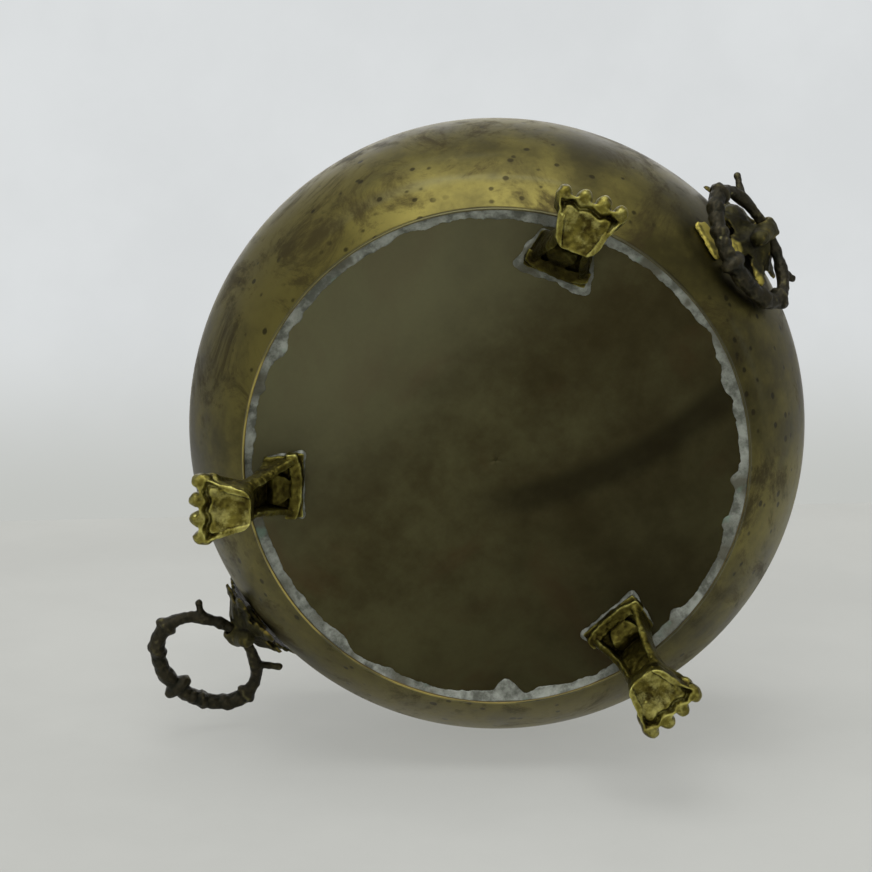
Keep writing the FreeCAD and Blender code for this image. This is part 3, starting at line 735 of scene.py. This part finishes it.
def bowl_inside():
    """Dull brass with runs down the wall."""
    m = Finish("bowl_inside")
    cloud = m.noise(14.0, 6.0, 0.6)
    runs = m.noise(20.0, 5.0, 0.6, m.stretched((1.0, 1.0, 0.25)))
    colour = m.mix(m.step(cloud, 0.4, 0.62), rgb(92, 78, 48), rgb(132, 114, 68))
    colour = m.mix(m.step(runs, 0.52, 0.7, 0.0, 0.6), colour, rgb(70, 62, 46))
    return m.done(colour=colour, roughness=0.42 + 0.25 * cloud, metallic=0.85,
                  normal=m.relief(cloud, 0.1, 0.0006))


def disc_patina():
    """Brown-green patina with a dark bar across it, painted lighter towards +y as a sheen and
    darker towards -y as shade.
    """
    m = Finish("disc_patina")
    cloud = m.noise(11.0, 5.0, 0.6)
    mottle = m.noise(60.0, 6.0, 0.7)
    fine = m.noise(500.0, 2.0, 0.5)
    colour = m.mix(m.step(cloud * 0.65 + mottle * 0.35, 0.36, 0.64),
                   rgb(54, 48, 27), rgb(80, 77, 50))
    brown = m.step(m.noise(17.0, 4.0, 0.6, distort=0.8), 0.52, 0.72, 0.0, 0.6)
    colour = m.mix(brown, colour, rgb(66, 50, 30))
    across = m.coordinate(0)
    along = m.coordinate(1)
    # Painted sheen and shade: the disc is painted lighter towards +y and darker towards -y.
    sheen_and_shade_slope = along * 0.95 + across * 0.1 + 0.03 * cloud
    colour = m.mix(m.step(sheen_and_shade_slope, 0.04, -0.08, 0.0, 0.5), colour, rgb(30, 27, 14))
    colour = m.mix(m.step(sheen_and_shade_slope, 0.02, 0.10, 0.0, 0.5), colour, rgb(106, 105, 80))
    bar_x, bar_y = across + 0.080, along - 0.156
    arm = (bar_x * bar_x + bar_y * bar_y) ** 0.5 + 0.010 * (cloud - 0.5) + 0.004 * mottle
    stain = m.step(arm, 0.186, 0.193) * m.step(arm, 0.206, 0.198) * m.step(across, 0.03, -0.01)
    colour = m.mix(0.6 * stain, colour, rgb(26, 22, 10))
    rough = 0.36 + 0.2 * mottle + 0.12 * fine
    return m.done(colour=colour, roughness=rough, metallic=0.95,
                  normal=m.relief(mottle * 0.6 + fine * 0.25, 0.10, 0.0006))


def solder():
    """Grey solder with brown patches and a little verdigris."""
    m = Finish("old_solder")
    cloud = m.noise(120.0, 5.0, 0.65)
    grain = m.noise(700.0, 3.0, 0.6)
    colour = m.mix(m.step(cloud, 0.35, 0.65), rgb(84, 86, 76), rgb(156, 160, 150))
    colour = m.mix(m.step(m.noise(60.0, 4.0), 0.52, 0.64, 0.0, 0.8), colour, rgb(66, 62, 42))
    verdigris = m.step(m.noise(90.0, 3.0, 0.5, m.stretched((1, 1, 1), (0.4, 0.2, 0.1))),
                       0.64, 0.74, 0.0, 0.6)
    colour = m.mix(verdigris, colour, rgb(104, 130, 112))
    return m.done(colour=colour, roughness=0.45 + 0.2 * cloud, metallic=0.55,
                  normal=m.relief(cloud + grain * 0.4, 0.3, 0.0006))


def cast_finish(name, deep, body, high, rough, metal, grain_depth):
    """Rough sand casting: colour by how proud the surface stands, raised edges lighter as wear and
    painted highlight, hollows painted near-black as shade, plus grain.
    """
    m = Finish(name)
    proud = m.add("ShaderNodeNewGeometry").outputs["Pointiness"]
    edge = m.step(proud, 0.44, 0.60)
    cloud = m.noise(110.0, 5.0, 0.65)
    grain = m.noise(900.0, 4.0, 0.65)
    # Raised edges lighter: partly wear, partly a painted highlight.
    colour = m.mix(m.step(cloud * 0.6 + edge * 0.4, 0.28, 0.58), deep, body)
    colour = m.mix(m.step(edge * 0.35 + cloud * 0.65, 0.50, 0.78), colour, high)
    # Painted shade: hollows darkened to near black.
    colour = m.mix(m.step(proud, 0.485, 0.42, 0.0, 0.85), colour, darker(deep, 0.4))
    normal = m.relief(cloud * 0.8 + grain * 0.5, grain_depth, 0.0009)
    return m, colour, rough + 0.2 * cloud, metal, normal


# Strength of each foot's painted shade on the upper leg, near the pad.
LEG_SHADE = {"front": 0.4, "back_right": 0.3, "back_left": 0.85}


def foot_brass(foot):
    """Raw brass; toes and sole lighter, partly wear and partly a painted highlight; painted shade
    on the upper leg near the soldered pad.
    """
    m, colour, rough, metal, normal = cast_finish(
        "foot_brass_" + foot, rgb(48, 40, 16), rgb(118, 110, 48), rgb(206, 202, 118),
        0.26, 1.0, 0.9)
    height = m.coordinate(2)
    blotch = m.noise(75.0, 4.0, 0.6)
    # Toes and sole painted lighter: partly wear, partly a painted highlight.
    rubbed_and_lit = m.step(height, 0.016, 0.004) * m.step(m.noise(150.0, 6.0, 0.7), 0.44, 0.66, 0.0, 0.42)
    colour = m.mix(rubbed_and_lit, colour, rgb(198, 192, 116))
    # Painted shade on the upper leg, rising from 18 mm to full at 36 mm, by the foot's amount.
    painted_leg_shade = m.step(height, 0.018, 0.036, 0.0, LEG_SHADE[foot]) * m.step(blotch, 0.70, 0.40, 0.6, 1.0)
    colour = m.mix(painted_leg_shade, colour, rgb(26, 22, 9))
    return m.done(colour=colour, roughness=rough + 0.15 * painted_leg_shade, metallic=metal, normal=normal)


def mount_bronze(side):
    """Dark bronze; the left leaf's lower tip painted bright, partly filed brass and partly a
    painted highlight on its lit edge.
    """
    m, colour, rough, metal, normal = cast_finish(
        "mount_bronze_" + side, rgb(28, 26, 13), rgb(66, 62, 30), rgb(158, 140, 64), 0.46, 0.8, 0.8)
    if side == "left":
        # Bright lower tip on the left leaf only: partly filed brass, partly a painted highlight
        # where its edge catches the light.
        filed_and_lit = m.step(m.coordinate(2), 0.0845, 0.080)
        filed_and_lit = filed_and_lit * m.step(m.noise(160.0), 0.40, 0.52, 0.35, 0.95)
        colour = m.mix(filed_and_lit, colour, rgb(190, 176, 84))
    return m.done(colour=colour, roughness=rough, metallic=metal, normal=normal)


def ring_bronze():
    """Nearly black bronze; knots and edges lighter, partly wear and partly a painted highlight, and
    painted shade in the hollows.
    """
    m, colour, rough, metal, normal = cast_finish(
        "ring_bronze", rgb(24, 25, 14), rgb(54, 49, 33), rgb(122, 118, 76), 0.38, 0.75, 1.0)
    return m.done(colour=colour, roughness=rough, metallic=metal, normal=normal)


def fastener_finish(name, colour):
    """Turned metal, worn."""
    m = Finish(name)
    wear = m.noise(300.0, 4.0, 0.6)
    mixed = m.mix(m.step(wear, 0.4, 0.65), colour, rgb(70, 62, 46))
    return m.done(colour=mixed, roughness=0.35 + 0.3 * wear, metallic=0.9,
                  normal=m.relief(wear, 0.1, 0.0004))


def dress_fasteners():
    """The small turned pieces keep their own shape and get a finish."""
    finishes = {"mount_stud": fastener_finish("stud_brass", rgb(170, 148, 84)),
                "mount_washer": fastener_finish("washer_steel", rgb(140, 138, 130)),
                "mount_nut": fastener_finish("nut_steel", rgb(150, 147, 138))}
    for name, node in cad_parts.items():
        kind = name.rsplit("_", 1)[0]
        if kind in finishes:
            node.data.materials.clear()
            node.data.materials.append(finishes[kind])


# ---- stage ----------------------------------------------------------------------------
# The bowl lies on its side on a table, so the tabletop is upright in the bowl's own frame.
VIEW_AZIMUTH, VIEW_ELEVATION = math.radians(218.0), math.radians(-78.0)
TABLE_UP = Vector((math.sin(VIEW_AZIMUTH), -math.cos(VIEW_AZIMUTH), 0.0))
VIEW_RIGHT = Vector((math.cos(VIEW_AZIMUTH), math.sin(VIEW_AZIMUTH), 0.0))
BEHIND = Vector((0.0, 0.0, 1.0))
CAMERA_DISTANCE = 1.10
CAMERA_LENS, SENSOR = 99.3, 36.0
FRAME_LEFT, FRAME_DOWN = 0.0274, 0.0048
TABLE_DEPTH_BEHIND = 0.40
MIDDLE = Vector((0.0, 0.0, WIDEST_Z * MM))
TOUCHING = MIDDLE - TABLE_UP * (WIDEST_R * MM)


def add_camera():
    """Camera below the base, level with the table."""
    back = Vector((math.sin(VIEW_AZIMUTH) * math.cos(VIEW_ELEVATION),
                   -math.cos(VIEW_AZIMUTH) * math.cos(VIEW_ELEVATION), math.sin(VIEW_ELEVATION)))
    level = back.cross(VIEW_RIGHT)
    spot = MIDDLE + back * CAMERA_DISTANCE
    aim = MIDDLE - VIEW_RIGHT * FRAME_LEFT - level * FRAME_DOWN
    behind = (spot - aim).normalized()
    right = level.cross(behind).normalized()
    up = behind.cross(right)
    camera = bpy.data.objects.new("camera", bpy.data.cameras.new("camera"))
    camera.data.lens, camera.data.sensor_width = CAMERA_LENS, SENSOR
    camera.location = spot
    camera.rotation_euler = Matrix((right, up, behind)).transposed().to_euler()
    bpy.context.scene.collection.objects.link(camera)
    bpy.context.scene.camera = camera


def plane(name, corner, along, across, finish):
    """A flat stage sheet with a corner and two edges, facing along x across."""
    mesh = bpy.data.meshes.new(name)
    points = [corner, corner + along, corner + along + across, corner + across]
    mesh.from_pydata([tuple(p) for p in points], [], [(0, 1, 2, 3)])
    mesh.materials.append(finish)
    sheet = bpy.data.objects.new(name, mesh)
    bpy.context.scene.collection.objects.link(sheet)
    return sheet


def one_sided(name, colour, camera_only, evenness, glow, shaded_foot_colour=None):
    """Matt cloth that shows only from its front, so it never hides the bowl from behind."""
    m = Finish(name)
    weave = m.noise(6.0, 5.0, 0.6)
    shade = m.mix(m.step(weave, 0.3, 0.7), colour, darker(colour, 0.94))
    # Painted shade: the back cloth is darker at its foot, towards the table.
    if shaded_foot_colour:
        height = m.coordinate(0) * TABLE_UP.x + m.coordinate(1) * TABLE_UP.y
        shade = m.mix(m.step(height, -WIDEST_R * MM, -WIDEST_R * MM + 0.14), shaded_foot_colour, shade)
    m.done(colour=shade, roughness=0.95)
    m.shader.inputs["Specular IOR Level"].default_value = 0.1
    front = 1 - Value(m, m.add("ShaderNodeNewGeometry").outputs["Backfacing"])
    looked_at = Value(m, m.add("ShaderNodeLightPath").outputs["Is Camera Ray"])
    if camera_only:
        front = front * looked_at
    else:
        x, y, z = (m.coordinate(axis) for axis in range(3))
        x, y, z = x - TOUCHING.x, y - TOUCHING.y, z - TOUCHING.z
        clear_of_bowl = m.step((x * x + y * y + z * z) ** 0.5, 0.05, 0.13)
        front = front * (looked_at + (1 - looked_at) * clear_of_bowl)
    pale = m.add("ShaderNodeEmission", None, {"Color": shade, "Strength": glow})
    cloth = m.add("ShaderNodeMixShader", None,
                  {0: looked_at * evenness, 1: m.shader.outputs[0], 2: pale.outputs[0]})
    clear = m.add("ShaderNodeBsdfTransparent")
    both = m.add("ShaderNodeMixShader", None,
                 {0: front, 1: clear.outputs[0], 2: cloth.outputs[0]})
    m.links.new(both.outputs[0], m.nodes["Material Output"].inputs["Surface"])
    return m.material


def add_stage():
    """Table, cloth behind it, and the ground that the feet stand on."""
    back_edge = VIEW_RIGHT + BEHIND * 0.09
    corner = TOUCHING - back_edge * 2.0 + BEHIND * TABLE_DEPTH_BEHIND
    plane("table", corner, -BEHIND * 3.0, back_edge * 4.0,
          one_sided("table_cloth", rgb(206, 207, 202), False, 0.66, 0.84))
    plane("backcloth", corner, back_edge * 4.0, TABLE_UP * 3.0,
          # The back cloth's last colour is its painted shade at the foot.
          one_sided("back_cloth", rgb(220, 223, 224), True, 1.0, 1.0, rgb(194, 196, 192)))
    plane("ground", Vector((-4.0, -4.0, 0.0)), Vector((8.0, 0, 0)), Vector((0, 8.0, 0)),
          one_sided("ground_cloth", rgb(206, 207, 204), True, 0.66, 0.84))


def add_world():
    """Soft daylight all round and a pale sky to look at."""
    world = bpy.data.worlds.new("studio")
    bpy.context.scene.world = world
    world.use_nodes = True
    nodes, links = world.node_tree.nodes, world.node_tree.links
    ambient = nodes["Background"]
    ambient.inputs["Color"].default_value = (1.0, 1.0, 1.0, 1.0)
    ambient.inputs["Strength"].default_value = 0.42
    seen = nodes.new("ShaderNodeBackground")
    seen.inputs["Color"].default_value = rgb(219, 222, 223)
    path = nodes.new("ShaderNodeLightPath")
    both = nodes.new("ShaderNodeMixShader")
    links.new(path.outputs["Is Camera Ray"], both.inputs[0])
    links.new(ambient.outputs[0], both.inputs[1])
    links.new(seen.outputs[0], both.inputs[2])
    links.new(both.outputs[0], nodes["World Output"].inputs["Surface"])


def softbox(name, spot, size, power):
    """Square area lamp at a place given from the bowl's middle, aimed at it."""
    lamp = bpy.data.lights.new(name, "AREA")
    lamp.shape, lamp.size, lamp.energy = "SQUARE", size, power
    holder = bpy.data.objects.new(name, lamp)
    holder.location = MIDDLE + spot
    holder.rotation_euler = spot.to_track_quat("Z", "Y").to_euler()
    bpy.context.scene.collection.objects.link(holder)


def add_lamps():
    """A window above, the room in front and the sky behind."""
    front = -BEHIND
    softbox("window", TABLE_UP * 1.5 + front * 0.2 - VIEW_RIGHT * 0.05, 1.2, 17.0)
    softbox("room", TABLE_UP * 0.8 + front * 1.5 - VIEW_RIGHT * 0.4, 1.6, 7.0)
    softbox("sky", BEHIND * 1.6 + TABLE_UP * 0.2, 1.4, 9.0)


build_bowl()
build_disc()
build_seam()
build_feet()
build_foot_solder()
build_mounts()
build_rings()
dress_fasteners()
add_stage()
add_world()
add_lamps()
add_camera()
bpy.context.scene.view_settings.view_transform = "Standard"
